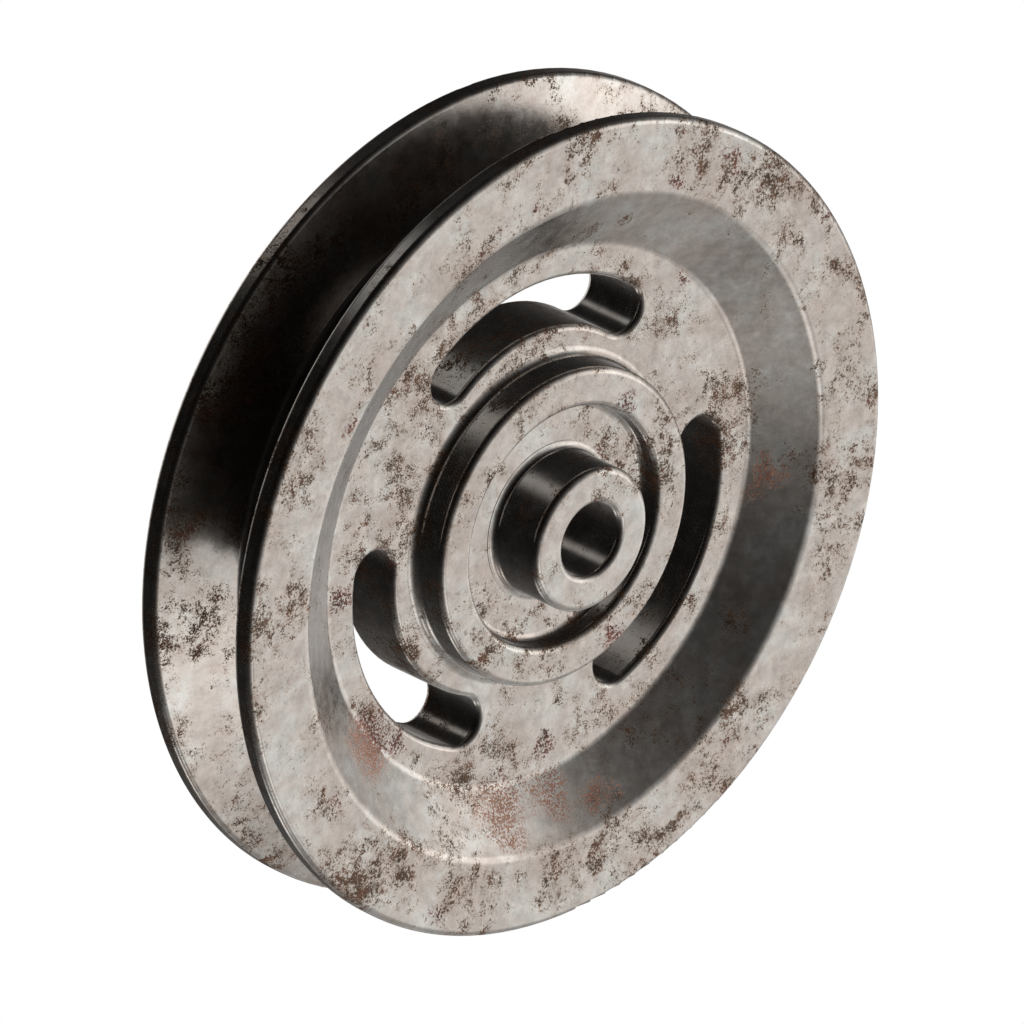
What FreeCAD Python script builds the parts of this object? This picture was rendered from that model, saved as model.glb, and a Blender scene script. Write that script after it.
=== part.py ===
import FreeCAD, Part
import math
import os

# V-belt idler pulley turning on a sealed ball bearing round a fixed two-part bush.
# Units mm. Origin at the pulley centre, axis along Y, front toward -Y, +Z up.

# ---- rim and groove --------------------------------------------------------------
OD = 135.0                 # outside diameter of the two flanges
RIM_W = 25.0               # width over the rim
LAND = 3.4                 # land on each side of the groove mouth
GROOVE_ANGLE = 34.0        # included angle of the groove
GROOVE_DEPTH = 14.3
EDGE_R = 1.12              # rounding of every cast edge

# ---- dish, web and slots ---------------------------------------------------------
DISH_OUT_R = 54.9          # where the rim face breaks into the dished cone
DISH_IN_R = 44.9           # where the cone meets the web
DISH_OUT_ROUND = 2.6
DISH_IN_ROUND = 2.2
WEB_T = 12.6
SLOT_ANGLES = (90.0, 210.0, 330.0)
SLOT_ARC_R = 30.0          # radius of each slot's own centre line
SLOT_ARC_OFF = 5.6         # how far that arc's centre stands off the pulley axis
SLOT_HALF_W = 4.05
SLOT_HALF_ANG = 37.3       # from the slot's middle to the centre of its round end
SLOT_EDGE_R = 1.1

# ---- bearing boss ----------------------------------------------------------------
BOSS_R = 26.4
BOSS_W = 25.0              # boss faces are level with the rim faces
BOSS_FILLET = 1.6
SEAT_R = 20.0              # bearing seat, open to the rear
RECESS_R = 19.9            # recess round the bush on the front
FLOOR_Y = 8.8              # |y| of the recess floor, front and rear
FLOOR_FILLET = 1.2
WALL_HOLE_R = 12.35        # hole in the front wall for the bush

# ---- ball bearing 17 x 40 x 12 ---------------------------------------------------
BRG_W = 12.0
BALL_R = 3.3735
BALL_N = 8
PITCH_R = 14.25
PLAY = 0.02                # radial play, ball to each raceway
OUTER_SHOULDER_R = 16.55
INNER_SHOULDER_R = 11.95
RACE_R = 3.50              # raceway groove radius
SEAL_GROOVE_R = 17.40
SEAL_LAND_R = 17.00
CAGE_IN_R, CAGE_OUT_R = 13.0, 15.5
CAGE_T = 0.8
POCKET_IN, POCKET_OUT = 3.5, 4.3
RIVET_R = 0.45
RIVET_HEAD_R = 0.85
RIVET_HEAD_H = 0.35

# ---- retaining ring, dust cover, felt rings --------------------------------------
CIRCLIP_T = 1.75
CIRCLIP_OUT_R = 21.2
CIRCLIP_IN_R = 18.3
CIRCLIP_LUG_R = 15.9
CIRCLIP_GROOVE_R = 21.25
CIRCLIP_GROOVE_W = 1.85
COVER_T = 0.6
COVER_FLANGE_Y = 10.6
FELT_IN_R, FELT_OUT_R = 12.1, 15.5
FELT_POCKET_Y = 7.7        # |y| of the felt pocket's bottom in the front wall

# ---- bush ------------------------------------------------------------------------
BUSH_R = 12.0
SPIGOT_R = 8.5             # fits the bearing's 17 mm bore
BUSH_BORE_R = 6.1          # clears an M12 bolt
BORE_MOUTH_R = 1.0
OVERALL = 37.4             # over the bush ends
FOOT_R = 13.25             # thrower foot over the running gap
FOOT_GAP = 0.12
FOOT_EDGE = 0.15
FOOT_FILLET = 1.1

PARTS = "parts"
os.makedirs(PARTS, exist_ok=True)
V = FreeCAD.Vector
O = V(0, 0, 0)
AX = V(0, 1, 0)


# ---- profiles: lists of (r, y[, corner radius]) turned round the axis ------------
def outline(points):
    n = len(points)
    starts, ends, mids = [], [], []
    for i in range(n):
        p = points[i]
        a = V(points[i - 1][0], points[i - 1][1], 0)
        b = V(p[0], p[1], 0)
        c = V(points[(i + 1) % n][0], points[(i + 1) % n][1], 0)
        r = p[2] if len(p) > 2 else 0.0
        if r <= 0:
            starts.append(b)
            ends.append(b)
            mids.append(None)
            continue
        u = (a - b).normalize()
        w = (c - b).normalize()
        half = u.getAngle(w) / 2
        d = r / math.tan(half)
        bis = (u + w).normalize()
        centre = b + bis * (r / math.sin(half))
        starts.append(b + u * d)
        ends.append(b + w * d)
        mids.append(centre - bis * r)
    edges = []
    for i in range(n):
        if mids[i] is not None:
            edges.append(Part.Arc(starts[i], mids[i], ends[i]).toShape())
        j = (i + 1) % n
        if (starts[j] - ends[i]).Length > 1e-7:
            edges.append(Part.makeLine(ends[i], starts[j]))
    return Part.Wire(Part.__sortEdges__(edges))


def turned(points):
    solid = Part.Face(outline(points)).revolve(O, AX, 360)
    return solid.Solids[0]


def flip(points):
    return [(p[0], -p[1]) + tuple(p[2:]) for p in reversed(points)]


def rotated(shape, angle):
    s = shape.copy()
    s.rotate(O, AX, angle)
    return s


def cyl(r, x, z, y0, y1):
    return Part.makeCylinder(r, y1 - y0, V(x, y0, z), AX)


def save(name, shape):
    if not shape.isValid():
        raise ValueError(name + " is not a valid solid")
    shape.exportStep(os.path.join(PARTS, name + ".step"))


# ---- sheave ----------------------------------------------------------------------
def slot_core(w):
    ro, ri = SLOT_ARC_R + SLOT_HALF_W, SLOT_ARC_R - SLOT_HALF_W
    t = math.radians(SLOT_HALF_ANG)
    y = -w - 2

    def p(r, ang):
        return V(r * math.sin(ang), y, SLOT_ARC_OFF + r * math.cos(ang))

    def cap(side):
        cx = SLOT_ARC_R * math.sin(t)
        cz = SLOT_ARC_OFF + SLOT_ARC_R * math.cos(t)
        return V(side * (cx + SLOT_HALF_W * math.cos(t)), y, cz - SLOT_HALF_W * math.sin(t))

    e = [
        Part.Arc(p(ro, -t), p(ro, 0), p(ro, t)).toShape(),
        Part.Arc(p(ro, t), cap(1), p(ri, t)).toShape(),
        Part.Arc(p(ri, t), p(ri, 0), p(ri, -t)).toShape(),
        Part.Arc(p(ri, -t), cap(-1), p(ro, -t)).toShape(),
    ]
    return Part.Face(Part.Wire(e)).extrude(V(0, 2 * w + 4, 0))


def sheave():
    R, h, w, b = OD / 2, RIM_W / 2, WEB_T / 2, BOSS_W / 2
    mouth = h - LAND
    root = mouth - GROOVE_DEPTH * math.tan(math.radians(GROOVE_ANGLE / 2))
    side = [
        (BOSS_R, b, EDGE_R),
        (BOSS_R, w, BOSS_FILLET),
        (DISH_IN_R, w, DISH_IN_ROUND),
        (DISH_OUT_R, h, DISH_OUT_ROUND),
        (R, h, EDGE_R),
        (R, mouth, EDGE_R),
        (R - GROOVE_DEPTH, root, 0.9),
    ]
    seat = BRG_W / 2
    profile = [
        (SEAT_R, seat),
        (CIRCLIP_GROOVE_R, seat),
        (CIRCLIP_GROOVE_R, seat + CIRCLIP_GROOVE_W),
        (SEAT_R, seat + CIRCLIP_GROOVE_W),
        (SEAT_R, b, EDGE_R),
    ] + side + flip(side) + [
        (RECESS_R, -b, EDGE_R),
        (RECESS_R, -FLOOR_Y, FLOOR_FILLET),
        (WALL_HOLE_R, -FLOOR_Y, 0.25),
        (WALL_HOLE_R, -FELT_POCKET_Y),
        (FELT_OUT_R, -FELT_POCKET_Y),
        (FELT_OUT_R, -seat - 0.4),
        (SEAL_LAND_R + 0.6, -seat - 0.4),
        (SEAL_LAND_R + 0.6, -seat),
        (SEAT_R, -seat),
    ]
    body = turned(profile)
    core = slot_core(w)
    for a in SLOT_ANGLES:
        body = body.cut(rotated(core, 90 - a))
    body = body.Solids[0]
    mouths = []
    for e in body.Edges:
        bb = e.BoundBox
        flat = abs(bb.YMax - bb.YMin) < 1e-4 and abs(abs(bb.YMax) - w) < 1e-4
        mid = e.valueAt((e.FirstParameter + e.LastParameter) / 2)
        r = math.hypot(mid.x, mid.z)
        full = abs(e.LastParameter - e.FirstParameter - 2 * math.pi) < 1e-6
        if flat and not full and BOSS_R + 2.5 < r < DISH_IN_R - 2.5:
            mouths.append(e)
    body = body.makeFillet(SLOT_EDGE_R, mouths)
    return body.Solids[0]


# ---- bearing ---------------------------------------------------------------------
def raced(points_a, deep_r, centre_r, points_b):
    """Closed profile whose two point runs are joined by a raceway arc at y = 0."""
    reach = math.sqrt(RACE_R ** 2 - (points_a[-1][0] - centre_r) ** 2)
    a = points_a[:-1] + [(points_a[-1][0], -reach)]
    b = [(points_b[0][0], reach)] + points_b[1:]
    pts = [V(p[0], p[1], 0) for p in a]
    pts2 = [V(p[0], p[1], 0) for p in b]
    edges = [Part.makeLine(pts[i], pts[i + 1]) for i in range(len(pts) - 1)]
    edges.append(Part.Arc(pts[-1], V(deep_r, 0, 0), pts2[0]).toShape())
    edges += [Part.makeLine(pts2[i], pts2[i + 1]) for i in range(len(pts2) - 1)]
    edges.append(Part.makeLine(pts2[-1], pts[0]))
    return Part.Face(Part.Wire(Part.__sortEdges__(edges))).revolve(O, AX, 360).Solids[0]


def outer_ring():
    h = BRG_W / 2
    deep = PITCH_R + BALL_R + PLAY
    c = 0.6
    half = [
        (SEAT_R - c, -h),
        (SEAL_LAND_R, -h),
        (SEAL_LAND_R, -h + 0.4),
        (SEAL_GROOVE_R, -h + 0.4),
        (SEAL_GROOVE_R, -h + 1.45),
        (OUTER_SHOULDER_R, -h + 1.45),
        (OUTER_SHOULDER_R, 0),
    ]
    up = [(OUTER_SHOULDER_R, 0)] + [(r, -y) for r, y in reversed(half[:-1])]
    start = [(SEAT_R, h - c), (SEAT_R, -h + c)]
    return raced(start + half, deep, deep - RACE_R, up)


def inner_ring():
    h = BRG_W / 2
    deep = PITCH_R - BALL_R - PLAY
    c = 0.5
    half = [(SPIGOT_R + c, -h), (INNER_SHOULDER_R - 0.3, -h), (INNER_SHOULDER_R, -h + 0.3),
            (INNER_SHOULDER_R, 0)]
    up = [(INNER_SHOULDER_R, 0), (INNER_SHOULDER_R, h - 0.3), (INNER_SHOULDER_R - 0.3, h),
          (SPIGOT_R + c, h)]
    start = [(SPIGOT_R, h - c), (SPIGOT_R, -h + c)]
    return raced(start + half, deep, deep + RACE_R, up)


def ball_place(i):
    a = math.radians(90 - i * 360.0 / BALL_N)
    return V(PITCH_R * math.cos(a), 0, PITCH_R * math.sin(a))


def rivet_place(i):
    a = math.radians(90 - (i + 0.5) * 360.0 / BALL_N)
    return V(PITCH_R * math.cos(a), 0, PITCH_R * math.sin(a))


def cage_half(side):
    lo, hi = (-POCKET_OUT, 0.0) if side < 0 else (0.0, POCKET_OUT)
    band = turned([(CAGE_IN_R, lo), (CAGE_OUT_R, lo), (CAGE_OUT_R, hi), (CAGE_IN_R, hi)])
    flat_lo, flat_hi = (-CAGE_T, 0.0) if side < 0 else (0.0, CAGE_T)
    flat = turned([(CAGE_IN_R, flat_lo), (CAGE_OUT_R, flat_lo), (CAGE_OUT_R, flat_hi),
                   (CAGE_IN_R, flat_hi)])
    domes = [Part.makeSphere(POCKET_OUT, ball_place(i)) for i in range(BALL_N)]
    shells = band.common(domes[0].multiFuse(domes[1:]))
    half = flat.fuse(shells)
    for i in range(BALL_N):
        half = half.cut(Part.makeSphere(POCKET_IN, ball_place(i)))
        p = rivet_place(i)
        half = half.cut(cyl(RIVET_R, p.x, p.z, -2, 2))
    half = half.removeSplitter()
    return half.Solids[0]


def rivets():
    t = CAGE_T
    out = []
    for i in range(BALL_N):
        p = rivet_place(i)
        pin = cyl(RIVET_R, p.x, p.z, -t - RIVET_HEAD_H, t + RIVET_HEAD_H)
        a = cyl(RIVET_HEAD_R, p.x, p.z, -t - RIVET_HEAD_H, -t)
        b = cyl(RIVET_HEAD_R, p.x, p.z, t, t + RIVET_HEAD_H)
        out.append(pin.fuse([a, b]).removeSplitter().Solids[0])
    return Part.makeCompound(out)


def seal(side):
    pts = [
        (12.05, 4.62, 0.15),
        (12.90, 4.62),
        (12.90, 5.00),
        (16.50, 5.00),
        (16.50, 4.62),
        (17.35, 4.62, 0.15),
        (17.35, 5.55, 0.15),
        (16.80, 5.60, 0.1),
        (12.60, 5.60, 0.2),
        (12.05, 5.30, 0.1),
    ]
    return turned(pts if side > 0 else flip(pts))


def seal_core(side):
    pts = [(12.92, 4.68), (16.48, 4.68), (16.48, 5.00), (12.92, 5.00)]
    return turned(pts if side > 0 else flip(pts))


# ---- retaining ring, cover, felt -------------------------------------------------
def circlip():
    y0 = BRG_W / 2 + 0.05
    y1 = y0 + CIRCLIP_T
    band = turned([(CIRCLIP_IN_R, y0), (CIRCLIP_OUT_R, y0), (CIRCLIP_OUT_R, y1), (CIRCLIP_IN_R, y1)])
    gap = math.radians(7.0)
    L = 30.0
    wedge = Part.Face(Part.makePolygon([
        V(0, y0 - 1, 0),
        V(-L * math.sin(gap), y0 - 1, -L * math.cos(gap)),
        V(L * math.sin(gap), y0 - 1, -L * math.cos(gap)),
        V(0, y0 - 1, 0),
    ])).extrude(V(0, CIRCLIP_T + 2, 0))
    lug_c = 17.9
    out = band
    holes = []
    for s in (-1, 1):
        a = math.radians(-90 + s * 14.0)
        x, z = lug_c * math.cos(a), lug_c * math.sin(a)
        out = out.fuse(cyl(lug_c - CIRCLIP_LUG_R, x, z, y0, y1))
        holes.append(cyl(1.0, x, z, y0 - 1, y1 + 1))
    out = out.cut(wedge).cut(holes[0]).cut(holes[1]).removeSplitter()
    return out.Solids[0]


def cover():
    t = COVER_T
    return turned([
        (WALL_HOLE_R, FLOOR_Y - t),
        (SEAT_R, FLOOR_Y - t, FLOOR_FILLET + t - 0.1),
        (SEAT_R, COVER_FLANGE_Y, 0.12),
        (SEAT_R - t + 0.1, COVER_FLANGE_Y, 0.3),
        (SEAT_R - t + 0.1, FLOOR_Y, FLOOR_FILLET - 0.1),
        (WALL_HOLE_R, FLOOR_Y, 0.25),
    ])


def felt(side):
    if side < 0:
        return turned([(FELT_IN_R, -FELT_POCKET_Y), (FELT_OUT_R, -FELT_POCKET_Y),
                       (FELT_OUT_R, -6.2), (FELT_IN_R, -6.2)])
    return turned([(FELT_IN_R, 6.3), (FELT_OUT_R, 6.3), (FELT_OUT_R, FLOOR_Y - COVER_T),
                   (FELT_IN_R, FLOOR_Y - COVER_T)])


# ---- bush ------------------------------------------------------------------------
def bush(side):
    end = OVERALL / 2
    foot = FLOOR_Y + FOOT_GAP
    pts = [
        (BUSH_BORE_R, 0.0),
        (SPIGOT_R, 0.0),
        (SPIGOT_R, BRG_W / 2),
        (BUSH_R - 0.4, BRG_W / 2),
        (BUSH_R, BRG_W / 2 + 0.4),
        (BUSH_R, foot),
        (FOOT_R, foot),
        (FOOT_R, foot + FOOT_EDGE),
        (BUSH_R, foot + FOOT_EDGE, FOOT_FILLET),
        (BUSH_R, end, EDGE_R),
        (BUSH_BORE_R, end, BORE_MOUTH_R),
    ]
    return turned(pts if side > 0 else flip(pts))


save("sheave", sheave())
save("bearing_outer_ring", outer_ring())
save("bearing_inner_ring", inner_ring())
for i in range(BALL_N):
    save("ball_%d" % (i + 1), Part.makeSphere(BALL_R, ball_place(i)))
save("cage_rivets", rivets())
save("cage_front_half", cage_half(-1))
save("cage_rear_half", cage_half(1))
save("front_seal", seal(-1))
save("rear_seal", seal(1))
save("front_seal_core", seal_core(-1))
save("rear_seal_core", seal_core(1))
save("retaining_ring", circlip())
save("rear_dust_cover", cover())
save("front_felt_ring", felt(-1))
save("rear_felt_ring", felt(1))
save("front_hub_bush", bush(-1))
save("rear_hub_bush", bush(1))
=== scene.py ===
import bpy, bmesh, math
import numpy as np
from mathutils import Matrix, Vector


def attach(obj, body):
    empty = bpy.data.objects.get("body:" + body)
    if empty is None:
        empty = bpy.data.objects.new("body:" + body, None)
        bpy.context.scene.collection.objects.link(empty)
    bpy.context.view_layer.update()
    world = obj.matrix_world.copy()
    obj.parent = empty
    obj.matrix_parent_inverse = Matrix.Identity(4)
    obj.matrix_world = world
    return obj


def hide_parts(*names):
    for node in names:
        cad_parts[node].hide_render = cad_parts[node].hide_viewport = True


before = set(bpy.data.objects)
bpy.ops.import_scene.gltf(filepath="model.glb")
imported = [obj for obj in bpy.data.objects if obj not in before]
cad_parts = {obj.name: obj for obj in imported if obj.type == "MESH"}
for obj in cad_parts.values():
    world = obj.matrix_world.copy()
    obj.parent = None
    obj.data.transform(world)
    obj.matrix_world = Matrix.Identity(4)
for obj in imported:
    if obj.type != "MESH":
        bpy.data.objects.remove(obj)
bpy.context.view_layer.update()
scene = bpy.context.scene

# ------------------------------------------------------------------ numbers (metres)
R = 0.0675            # outer radius
H = 0.0125            # half the rim's width
scene.view_settings.view_transform = "Standard"
scene.view_settings.look = "None"
scene.view_settings.exposure = 0.0
scene.view_settings.gamma = 1.0


# ------------------------------------------------------------------ node helpers
def new_mat(name):
    m = bpy.data.materials.new(name)
    m.use_nodes = True
    nt = m.node_tree
    nt.nodes.clear()
    out = nt.nodes.new("ShaderNodeOutputMaterial")
    b = nt.nodes.new("ShaderNodeBsdfPrincipled")
    nt.links.new(b.outputs[0], out.inputs[0])
    return m, nt, b


def noise(nt, co, scale, detail=4.0, rough=0.5, dist=0.0, lac=2.0):
    n = nt.nodes.new("ShaderNodeTexNoise")
    n.inputs["Scale"].default_value = scale
    n.inputs["Detail"].default_value = detail
    n.inputs["Roughness"].default_value = rough
    n.inputs["Distortion"].default_value = dist
    n.inputs["Lacunarity"].default_value = lac
    nt.links.new(co, n.inputs["Vector"])
    return n


def ramp(nt, fac, stops, interp="LINEAR"):
    r = nt.nodes.new("ShaderNodeValToRGB")
    cr = r.color_ramp
    cr.interpolation = interp
    while len(cr.elements) > 2:
        cr.elements.remove(cr.elements[-1])
    for i, (p, c) in enumerate(stops):
        e = cr.elements[i] if i < 2 else cr.elements.new(p)
        e.position = p
        e.color = c if len(c) == 4 else (*c, 1.0)
    nt.links.new(fac, r.inputs[0])
    return r


def grey(v):
    return (v, v, v, 1.0)


def maths(nt, op, a, b=None, clamp=False):
    n = nt.nodes.new("ShaderNodeMath")
    n.operation = op
    n.use_clamp = clamp
    for i, v in enumerate((a, b)):
        if v is None:
            continue
        if isinstance(v, (int, float)):
            n.inputs[i].default_value = v
        else:
            nt.links.new(v, n.inputs[i])
    return n.outputs[0]


def mixc(nt, fac, a, b, mode="MIX"):
    n = nt.nodes.new("ShaderNodeMix")
    n.data_type = "RGBA"
    n.blend_type = mode
    if isinstance(fac, (int, float)):
        n.inputs[0].default_value = fac
    else:
        nt.links.new(fac, n.inputs[0])
    for i, v in ((6, a), (7, b)):
        if isinstance(v, tuple):
            n.inputs[i].default_value = v if len(v) == 4 else (*v, 1.0)
        else:
            nt.links.new(v, n.inputs[i])
    return n.outputs[2]


def mapr(nt, v, a, b, c, d):
    n = nt.nodes.new("ShaderNodeMapRange")
    n.clamp = True
    nt.links.new(v, n.inputs[0])
    for i, x in enumerate((a, b, c, d)):
        n.inputs[i + 1].default_value = x
    return n.outputs[0]


# ------------------------------------------------------------------ aged iron
# Places where red rust has gathered: (x, y, z, radius, strength), metres.
PATCHES = [
    (-0.0368, -0.0069, -0.0274, 0.0062, 0.85),
    (-0.0101, -0.0085, -0.0474, 0.0060, 0.66),
    (0.0004, -0.0083, -0.0481, 0.0045, 0.62),
    (0.0469, -0.0080, -0.0083, 0.0037, 0.80),
    (0.0099, -0.0099, -0.0498, 0.0032, 0.62),
    (0.0308, -0.0063, 0.0287, 0.0022, 0.70),
    (-0.0418, -0.0063, -0.0007, 0.0037, 0.90),
    (0.0016, -0.0063, -0.0400, 0.0025, 0.80),
    (-0.0294, -0.0063, -0.0283, 0.0025, 0.80),
    (0.0246, -0.0125, 0.0517, 0.0019, 0.80),
    (0.0363, -0.0125, 0.0513, 0.0019, 0.80),
    (-0.0064, -0.0125, 0.0570, 0.0019, 0.60),
    (-0.0501, -0.0125, -0.0330, 0.0022, 0.70),
    (0.0348, -0.0125, -0.0494, 0.0019, 0.70),
    (-0.0455, -0.0125, 0.0323, 0.0016, 0.60),
    (-0.0277, -0.0125, -0.0579, 0.0022, 0.50),
    (0.0128, -0.0125, 0.0170, 0.0031, 0.70),
    (0.0100, -0.0125, -0.0215, 0.0020, 0.90),
    (-0.0008, -0.0088, 0.0089, 0.0028, 0.60),
    (0.0566, -0.0125, 0.0335, 0.0016, 0.60),
]


def iron(name, patches=PATCHES, clean=0.0):
    m, nt, b = new_mat(name)
    tc = nt.nodes.new("ShaderNodeTexCoord")
    co = tc.outputs["Object"]

    # clean metal: broad warm and cool mottling over a light grey
    broad = noise(nt, co, 130.0, 8.0, 0.70, 0.3)
    mott = noise(nt, co, 420.0, 6.0, 0.70, 0.2)
    base = ramp(nt, broad.outputs[0], [(0.36, (0.475, 0.425, 0.395)), (0.50, (0.545, 0.515, 0.490)),
                                       (0.62, (0.585, 0.590, 0.575))])
    cloud = mapr(nt, mott.outputs[0], 0.34, 0.66, 0.80, 1.12)
    metal = mixc(nt, 1.0, base.outputs[0], cloud, "MULTIPLY")

    # brown pitting: ragged clusters of fine specks
    wide = noise(nt, co, 75.0, 4.0, 0.60, 0.4)
    clus = noise(nt, co, 260.0, 12.0, 0.84, 0.0)
    fine = noise(nt, co, 3000.0, 4.0, 0.80, 0.0)
    dens = mapr(nt, wide.outputs[0], 0.38, 0.62, -0.040 - clean, 0.052 - clean)
    # the dished cone was turned, and has held less of it
    flat = nt.nodes.new("ShaderNodeVectorMath")
    flat.operation = "MULTIPLY"
    nt.links.new(co, flat.inputs[0])
    flat.inputs[1].default_value = (1.0, 0.0, 1.0)
    rad = nt.nodes.new("ShaderNodeVectorMath")
    rad.operation = "LENGTH"
    nt.links.new(flat.outputs[0], rad.inputs[0])
    off = maths(nt, "ABSOLUTE", maths(nt, "SUBTRACT", rad.outputs["Value"], 0.0500))
    dens = maths(nt, "SUBTRACT", dens, mapr(nt, off, 0.0040, 0.0062, 0.030, 0.0))
    t = maths(nt, "ADD", maths(nt, "MULTIPLY", clus.outputs[0], 0.62), maths(nt, "MULTIPLY", fine.outputs[0], 0.38))
    t = maths(nt, "ADD", t, dens)
    speck = mapr(nt, t, 0.550, 0.566, 0.0, 1.0)
    stain = mapr(nt, t, 0.49, 0.58, 0.0, 1.0)

    # red rust, in patches; on the dished cone the rust colour is painted bright pink with glints, a painted highlight
    # laid over the real rust
    pos = nt.nodes.new("ShaderNodeVectorMath")
    pos.operation = "ADD"
    nt.links.new(co, pos.inputs[0])
    warp = nt.nodes.new("ShaderNodeTexNoise")
    warp.inputs["Scale"].default_value = 160.0
    warp.inputs["Detail"].default_value = 4.0
    nt.links.new(co, warp.inputs["Vector"])
    wv = nt.nodes.new("ShaderNodeVectorMath")
    wv.operation = "MULTIPLY_ADD"
    nt.links.new(warp.outputs["Color"], wv.inputs[0])
    wv.inputs[1].default_value = (0.012, 0.012, 0.012)
    wv.inputs[2].default_value = (-0.006, -0.006, -0.006)
    nt.links.new(wv.outputs[0], pos.inputs[1])
    near = None
    for x, y, z, rad, k in patches:
        d = nt.nodes.new("ShaderNodeVectorMath")
        d.operation = "DISTANCE"
        nt.links.new(pos.outputs[0], d.inputs[0])
        d.inputs[1].default_value = (x, y, z)
        v = mapr(nt, d.outputs["Value"], rad * 0.25, rad * 1.25, k, 0.0)
        near = v if near is None else maths(nt, "MAXIMUM", near, v)
    if near is None:
        near = mapr(nt, wide.outputs[0], 0.62, 0.70, 0.0, 0.8)
    dots = noise(nt, co, 2600.0, 3.0, 0.7, 0.0)
    rust = mapr(nt, maths(nt, "ADD", maths(nt, "MULTIPLY", near, 0.19), dots.outputs[0]), 0.575, 0.64, 0.0, 1.0)
    rust = maths(nt, "MULTIPLY", rust, mapr(nt, near, 0.0, 0.25, 0.0, 1.0))

    hue = noise(nt, co, 330.0, 5.0, 0.65, 0.0)
    brown = ramp(nt, hue.outputs[0], [(0.36, (0.080, 0.042, 0.022)), (0.50, (0.150, 0.075, 0.038)),
                                      (0.64, (0.230, 0.095, 0.050))])
    # painted glint: bright pink tones that stand for light caught by the rust, not a colour of the rust itself
    rust_with_painted_glint = ramp(nt, dots.outputs[0], [(0.44, (0.30, 0.100, 0.060)), (0.56, (0.58, 0.260, 0.170)),
                                     (0.66, (0.95, 0.620, 0.460))])
    # where the painted glint goes: only on the dished cone; flat faces keep the dark red-brown rust colour
    painted_glint_cone_mask = mapr(nt, off, 0.0040, 0.0062, 1.0, 0.0)
    deep = ramp(nt, hue.outputs[0], [(0.36, (0.090, 0.030, 0.020)), (0.50, (0.190, 0.060, 0.038)),
                                     (0.64, (0.330, 0.110, 0.070))])
    # rust colour: dark red-brown on flat faces, painted bright glinting pink on the dished cone
    rust_tone_with_painted_glint = mixc(nt, painted_glint_cone_mask, deep.outputs[0], rust_with_painted_glint.outputs[0])
    stained = mixc(nt, 1.0, metal, (0.80, 0.72, 0.64), "MULTIPLY")
    col = mixc(nt, stain, metal, stained)
    col = mixc(nt, speck, col, brown.outputs[0])
    col = mixc(nt, rust, col, rust_tone_with_painted_glint)
    nt.links.new(col, b.inputs["Base Color"])

    dirt = maths(nt, "MAXIMUM", speck, rust)
    nt.links.new(maths(nt, "SUBTRACT", 1.0, maths(nt, "MULTIPLY", dirt, 0.65)), b.inputs["Metallic"])
    rbase = mapr(nt, mott.outputs[0], 0.3, 0.7, 0.17, 0.25)
    nt.links.new(maths(nt, "ADD", rbase, maths(nt, "MULTIPLY", dirt, 0.30)), b.inputs["Roughness"])

    grain = noise(nt, co, 1700.0, 5.0, 0.65, 0.0)
    h1 = maths(nt, "MULTIPLY", grain.outputs[0], 0.30)
    h2 = maths(nt, "MULTIPLY", dirt, -0.15)
    hh = maths(nt, "ADD", h1, h2)
    bump = nt.nodes.new("ShaderNodeBump")
    bump.inputs["Strength"].default_value = 0.10
    bump.inputs["Distance"].default_value = 0.0002
    nt.links.new(hh, bump.inputs["Height"])
    nt.links.new(bump.outputs[0], b.inputs["Normal"])
    return m


def plain(name, color, metallic, rough, scale=400.0, var=0.12, bump_s=0.1):
    m, nt, b = new_mat(name)
    tc = nt.nodes.new("ShaderNodeTexCoord")
    co = tc.outputs["Object"]
    n = noise(nt, co, scale, 5.0, 0.6)
    lo = tuple(c * (1 - var) for c in color)
    hi = tuple(min(1.0, c * (1 + var)) for c in color)
    r = ramp(nt, n.outputs[0], [(0.35, lo), (0.65, hi)])
    nt.links.new(r.outputs[0], b.inputs["Base Color"])
    b.inputs["Metallic"].default_value = metallic
    nt.links.new(mapr(nt, n.outputs[0], 0.3, 0.7, rough * 0.85, rough * 1.15), b.inputs["Roughness"])
    bu = nt.nodes.new("ShaderNodeBump")
    bu.inputs["Strength"].default_value = bump_s
    bu.inputs["Distance"].default_value = 0.0001
    nt.links.new(n.outputs[0], bu.inputs["Height"])
    nt.links.new(bu.outputs[0], b.inputs["Normal"])
    return m


IRON = iron("aged_iron")
HUB = iron("aged_steel", clean=0.022)
MATS = {
    "sheave": IRON,
    "front_hub_bush": HUB, "rear_hub_bush": HUB, "rear_dust_cover": HUB,
    "bearing_outer_ring": plain("bearing_steel", (0.62, 0.62, 0.61), 1.0, 0.22),
    "seal": plain("seal_rubber", (0.03, 0.03, 0.03), 0.0, 0.6),
    "core": plain("core_steel", (0.5, 0.5, 0.5), 1.0, 0.35),
    "ball": plain("ball_steel", (0.72, 0.72, 0.72), 1.0, 0.08, var=0.03, bump_s=0.01),
    "cage": plain("cage_steel", (0.55, 0.54, 0.50), 1.0, 0.35),
    "ring": plain("spring_steel", (0.08, 0.08, 0.085), 0.7, 0.4),
    "felt": plain("felt", (0.20, 0.18, 0.15), 0.0, 0.95, scale=2500.0, var=0.3, bump_s=0.8),
}
MATS["bearing_inner_ring"] = MATS["bearing_outer_ring"]
for name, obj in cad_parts.items():
    if name in MATS:
        m = MATS[name]
    elif name.startswith("ball_"):
        m = MATS["ball"]
    elif name.startswith("cage_"):
        m = MATS["cage"]
    elif name.endswith("_seal"):
        m = MATS["seal"]
    elif name.endswith("_seal_core"):
        m = MATS["core"]
    elif name == "retaining_ring":
        m = MATS["ring"]
    elif name.endswith("_felt_ring"):
        m = MATS["felt"]
    else:
        m = IRON
    for s in obj.material_slots:
        s.material = m
    obj.visible_glossy = False

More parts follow.
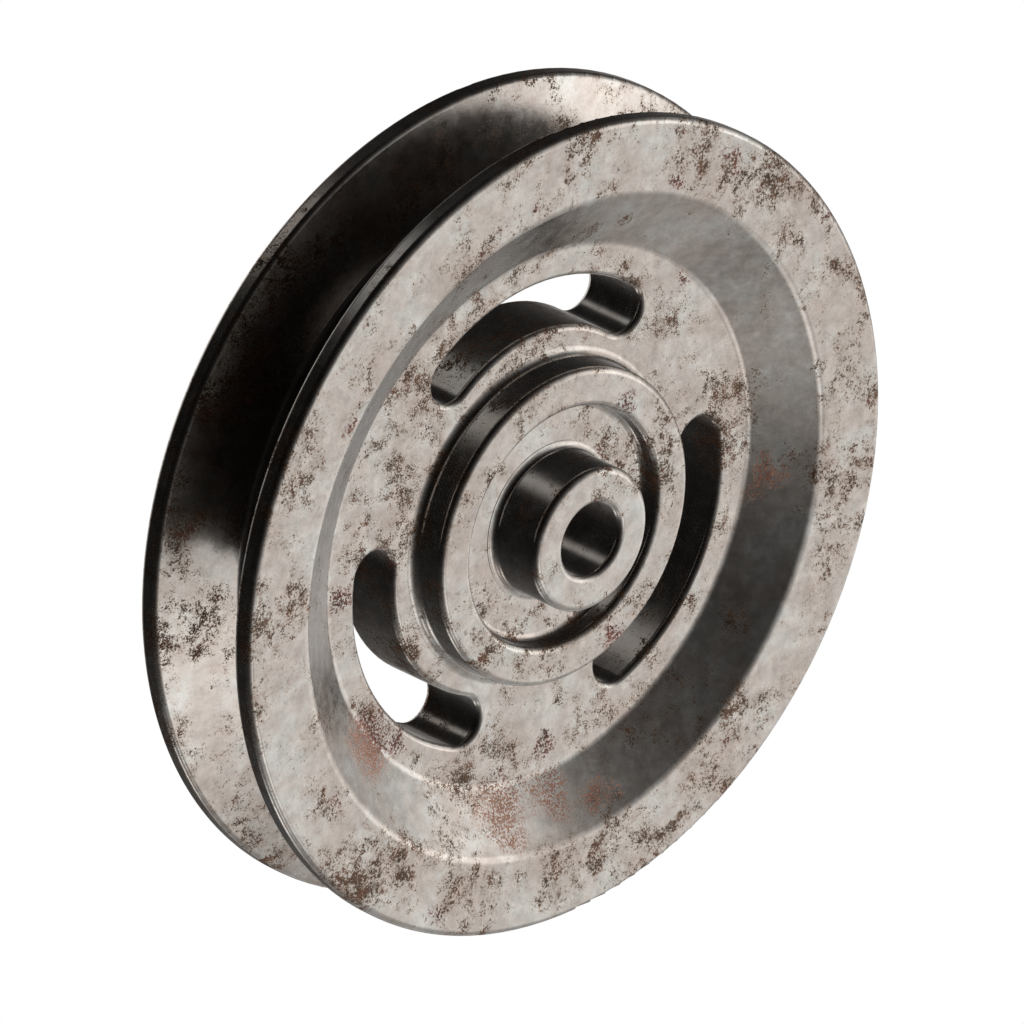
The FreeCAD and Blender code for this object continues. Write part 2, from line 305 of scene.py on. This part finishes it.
# ------------------------------------------------------------------ true normals
# The turned faces get the exact normals of their profile, so that highlights run clean
# round the rim. Points are (radius, y, corner radius) in mm.
SIDE = [(26.4, 12.5, 1.12), (26.4, 6.3, 1.6), (44.9, 6.3, 2.2), (54.9, 12.5, 2.6),
        (67.5, 12.5, 1.12), (67.5, 9.1, 1.12), (53.2, 9.1 - 14.3 * math.tan(math.radians(17.0)), 0.9)]
PROFILE = ([(20.0, 8.0, 0.0), (20.0, 12.5, 1.12)] + SIDE + [(r, -y, c) for r, y, c in reversed(SIDE)]
           + [(19.9, -12.5, 1.12), (19.9, -8.8, 1.2), (12.35, -8.8, 0.25), (12.35, -8.0, 0.0)])


def elements(points):
    cut = []
    for i, (x, y, c) in enumerate(points):
        b = np.array((x, y))
        if c == 0.0:
            cut.append((b, b, None, 0.0))
            continue
        u = np.array(points[i - 1][:2]) - b
        v = np.array(points[i + 1][:2]) - b
        u, v = u / np.linalg.norm(u), v / np.linalg.norm(v)
        half = math.acos(max(-1.0, min(1.0, float(u @ v)))) / 2
        d = c / math.tan(half)
        bis = (u + v) / np.linalg.norm(u + v)
        cut.append((b + u * d, b + v * d, b + bis * (c / math.sin(half)), c))
    return cut


def true_normals(me):
    nl = len(me.loops)
    co = np.empty(len(me.vertices) * 3)
    me.vertices.foreach_get("co", co)
    co = co.reshape(-1, 3)
    vi = np.empty(nl, int)
    me.loops.foreach_get("vertex_index", vi)
    old = np.empty(nl * 3)
    me.corner_normals.foreach_get("vector", old)
    old = old.reshape(-1, 3)
    fn = np.empty(len(me.polygons) * 3)
    me.polygons.foreach_get("normal", fn)
    tot = np.empty(len(me.polygons), int)
    me.polygons.foreach_get("loop_total", tot)
    fn = np.repeat(fn.reshape(-1, 3), tot, axis=0)
    p = co[vi]
    r = np.hypot(p[:, 0], p[:, 2])
    q = np.c_[r, p[:, 1]] * 1000.0
    er = np.c_[p[:, 0], np.zeros(nl), p[:, 2]] / np.maximum(r, 1e-9)[:, None]
    best = np.full(nl, 0.40)
    new = old.copy()

    def offer(dist, n2):
        n3 = er * n2[:, :1]
        n3[:, 1] = n2[:, 1]
        dot = (n3 * fn).sum(1)
        n3[dot < 0] *= -1
        dot = abs(dot)
        ok = (dist < 0.03) & (dot > best)
        new[ok] = n3[ok]
        best[ok] = dot[ok]

    cut = elements(PROFILE)
    for i, (a, b, c, rad) in enumerate(cut):
        if c is not None:
            w = q - c
            ln = np.maximum(np.linalg.norm(w, axis=1), 1e-9)
            mid = (a + b) / 2 - c
            mid /= np.linalg.norm(mid)
            lim = float((a - c) @ mid) / rad
            inside = (w @ mid) / ln > lim - 0.002
            offer(np.where(inside, abs(ln - rad), 9.0), w / ln[:, None])
        if i + 1 < len(cut):
            s, e = b, cut[i + 1][0]
            L = np.linalg.norm(e - s)
            if L < 1e-6:
                continue
            t = (e - s) / L
            k = (q - s) @ t
            d = abs((q - s) @ np.array((-t[1], t[0])))
            n2 = np.tile(np.array((-t[1], t[0])), (nl, 1))
            offer(np.where((k > -0.03) & (k < L + 0.03), d, 9.0), n2)
    me.normals_split_custom_set(new.tolist())


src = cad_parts["sheave"]
bm = bmesh.new()
bm.from_mesh(src.data)
side = {}
for f in bm.faces:
    c, n = f.calc_center_median(), f.normal
    r, deg = math.hypot(c.x, c.z), math.degrees(math.atan2(c.z, c.x)) % 360.0
    if n.y > 0.2 and c.y > 0.004 and r < 0.0674:
        side[f.index] = "rear"
    elif (0.0525 < r < 0.0672 and abs(c.y) < 0.0058 + (r - 0.0529) * 0.315 and n.y * c.y < 1e-5
          and (n.x * c.x + n.z * c.z) / r > 0.05 and (deg < 176.0 or deg > 300.0)):
        side[f.index] = "groove"
    else:
        side[f.index] = "body"
bm.free()
pieces = {}
for which, name in (("body", "sheave_body"), ("rear", "sheave_rear_faces"), ("groove", "sheave_upper_groove")):
    o = src.copy()
    o.data = src.data.copy()
    o.name = name
    scene.collection.objects.link(o)
    pieces[which] = o
for which, o in pieces.items():
    true_normals(o.data)
    kept = np.empty(len(o.data.loops) * 3)
    o.data.corner_normals.foreach_get("vector", kept)
    kept = kept.reshape(-1, 3)
    keep = np.array([q for f in o.data.polygons if side[f.index] == which for q in f.loop_indices], int)
    bm = bmesh.new()
    bm.from_mesh(o.data)
    bmesh.ops.delete(bm, geom=[f for f in bm.faces if side[f.index] != which], context="FACES")
    bm.to_mesh(o.data)
    bm.free()
    o.data.normals_split_custom_set(kept[keep].tolist())
    # the walls of the upper groove shade each other; everything else is lit straight from the room
    o.visible_glossy = which == "groove"
    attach(o, "pulley")
    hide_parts("sheave")
for o in pieces.values():
    o.hide_render = False
    o.hide_viewport = False
rear = pieces["rear"]

# ------------------------------------------------------------------ camera
AZ, EL = math.radians(43.14), math.radians(26.21)
fwd = Vector((math.cos(EL) * math.sin(AZ), math.cos(EL) * math.cos(AZ), -math.sin(EL)))
right = Vector((math.cos(AZ), -math.sin(AZ), 0.0))
up = right.cross(fwd)
target = Vector((0, -H, 0)) - right * (0.12214 * R) + up * (0.03616 * R)
cam_d = bpy.data.cameras.new("camera")
cam_d.type = "ORTHO"
cam_d.ortho_scale = 2.36289 * R
cam_d.clip_start = 0.01
cam_d.clip_end = 20.0
cam = bpy.data.objects.new("camera", cam_d)
scene.collection.objects.link(cam)
cam.location = target - fwd * 0.8
cam.rotation_euler = fwd.to_track_quat("-Z", "Y").to_euler()
scene.camera = cam


# ------------------------------------------------------------------ stage
def emission(name, color, strength):
    m = bpy.data.materials.new(name)
    m.use_nodes = True
    nt = m.node_tree
    nt.nodes.clear()
    out = nt.nodes.new("ShaderNodeOutputMaterial")
    e = nt.nodes.new("ShaderNodeEmission")
    e.inputs[0].default_value = (*color, 1.0)
    e.inputs[1].default_value = strength
    nt.links.new(e.outputs[0], out.inputs[0])
    return m


bpy.ops.mesh.primitive_uv_sphere_add(segments=48, ring_count=24, radius=4.0)
dome = bpy.context.object
dome.name = "backdrop"
dome.data.materials.append(emission("backdrop_white", (1, 1, 1), 1.0))
dome.visible_glossy = False
dome.visible_diffuse = False
dome.visible_transmission = False
dome.visible_shadow = False

bpy.ops.mesh.primitive_plane_add(size=2.4, location=(0, 0, -R - 0.0005))
floor = bpy.context.object
floor.name = "floor"
floor.data.materials.append(emission("floor_white", (1, 1, 1), 1.0))
floor.visible_glossy = False
floor.visible_diffuse = False
floor.visible_transmission = False
floor.visible_shadow = False

# ------------------------------------------------------------------ studio light
# Soft lamps round a dark room, as (azimuth, elevation, spread, strength), angles in degrees.
# Azimuth 0 is +Y, 90 is +X, 180 is the front.
WARM = (1.0, 0.965, 0.930)
SOFT = [
    # the key, a tall soft box at the front right
    (126, 6, 10, 1.27), (132, -12, 7, 0.90), (120, -18, 26, 0.93), (102, 12, 5, 0.95), (132, 24, 7, 0.27),
    (84, -30, 7, 0.80), (108, -30, 7, 0.42), (137, -27, 7, 0.16), (66, -12, 10, 0.23), (84, 18, 5, 0.40),
    # the low front fill
    (170, -36, 10, 0.90), (173, -30, 4, 0.55), (-173, -36, 14, 0.36), (168, 18, 19, 0.04), (-150, -6, 10, 0.037),
    # light returned from the floor
    (-124, -66, 10, 0.30), (-145, -58, 4, 1.7), (-26, -66, 7, 0.40), (-52, -65, 5, 2.2), (58, -66, 14, 0.45), (142, -66, 7, 0.24), (-124, -78, 26, 0.17),
    (-6, -24, 7, 0.28),
    # a strip above and behind
    (-20, 48, 5, 0.42), (-8, 50, 4, 0.42), (0, 54, 19, 0.02),
    # the rear fill
    (0, 0, 13, 0.90), (43, -26, 8, 0.55),
]
ROOM = (0.0065, 0.0062, 0.0060)

w = bpy.data.worlds.new("studio")
scene.world = w
w.use_nodes = True
nt = w.node_tree
nt.nodes.clear()
out = nt.nodes.new("ShaderNodeOutputWorld")
bg = nt.nodes.new("ShaderNodeBackground")
tc = nt.nodes.new("ShaderNodeTexCoord")
nrm = nt.nodes.new("ShaderNodeVectorMath")
nrm.operation = "NORMALIZE"
nt.links.new(tc.outputs["Generated"], nrm.inputs[0])
total = None
for az, el, spread, strength in SOFT:
    a, e = math.radians(az), math.radians(el)
    dp = nt.nodes.new("ShaderNodeVectorMath")
    dp.operation = "DOT_PRODUCT"
    nt.links.new(nrm.outputs[0], dp.inputs[0])
    dp.inputs[1].default_value = (math.cos(e) * math.sin(a), math.cos(e) * math.cos(a), math.sin(e))
    v = maths(nt, "DIVIDE", maths(nt, "SUBTRACT", dp.outputs["Value"], 1.0), math.radians(spread) ** 2)
    v = maths(nt, "MULTIPLY", maths(nt, "EXPONENT", v), strength)
    total = v if total is None else maths(nt, "ADD", total, v)
tint = nt.nodes.new("ShaderNodeVectorMath")
tint.operation = "SCALE"
tint.inputs[0].default_value = WARM
nt.links.new(total, tint.inputs["Scale"])
room = nt.nodes.new("ShaderNodeVectorMath")
room.operation = "ADD"
nt.links.new(tint.outputs[0], room.inputs[0])
room.inputs[1].default_value = ROOM
nt.links.new(room.outputs[0], bg.inputs[0])
nt.links.new(bg.outputs[0], out.inputs[0])
w.cycles.sampling_method = "NONE"

# A large soft box behind, for the rear of the pulley only.
behind = bpy.data.collections.new("rear_lit")
for o in (rear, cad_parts["rear_hub_bush"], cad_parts["rear_dust_cover"],
          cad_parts["rear_felt_ring"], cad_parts["retaining_ring"]):
    behind.objects.link(o)
for name, at, size, power in (("rear_box", (0.0, 1.25, -0.25), 3.0, 11.0), ("rear_key", (-0.75, 1.0, -0.35), 0.9, 1.1)):
    L = bpy.data.lights.new(name, "AREA")
    L.shape = "DISK"
    L.size = size
    L.energy = power
    L.color = WARM
    o = bpy.data.objects.new(name, L)
    scene.collection.objects.link(o)
    o.location = at
    o.rotation_euler = (-Vector(at)).to_track_quat("-Z", "Y").to_euler()
    o.light_linking.receiver_collection = behind
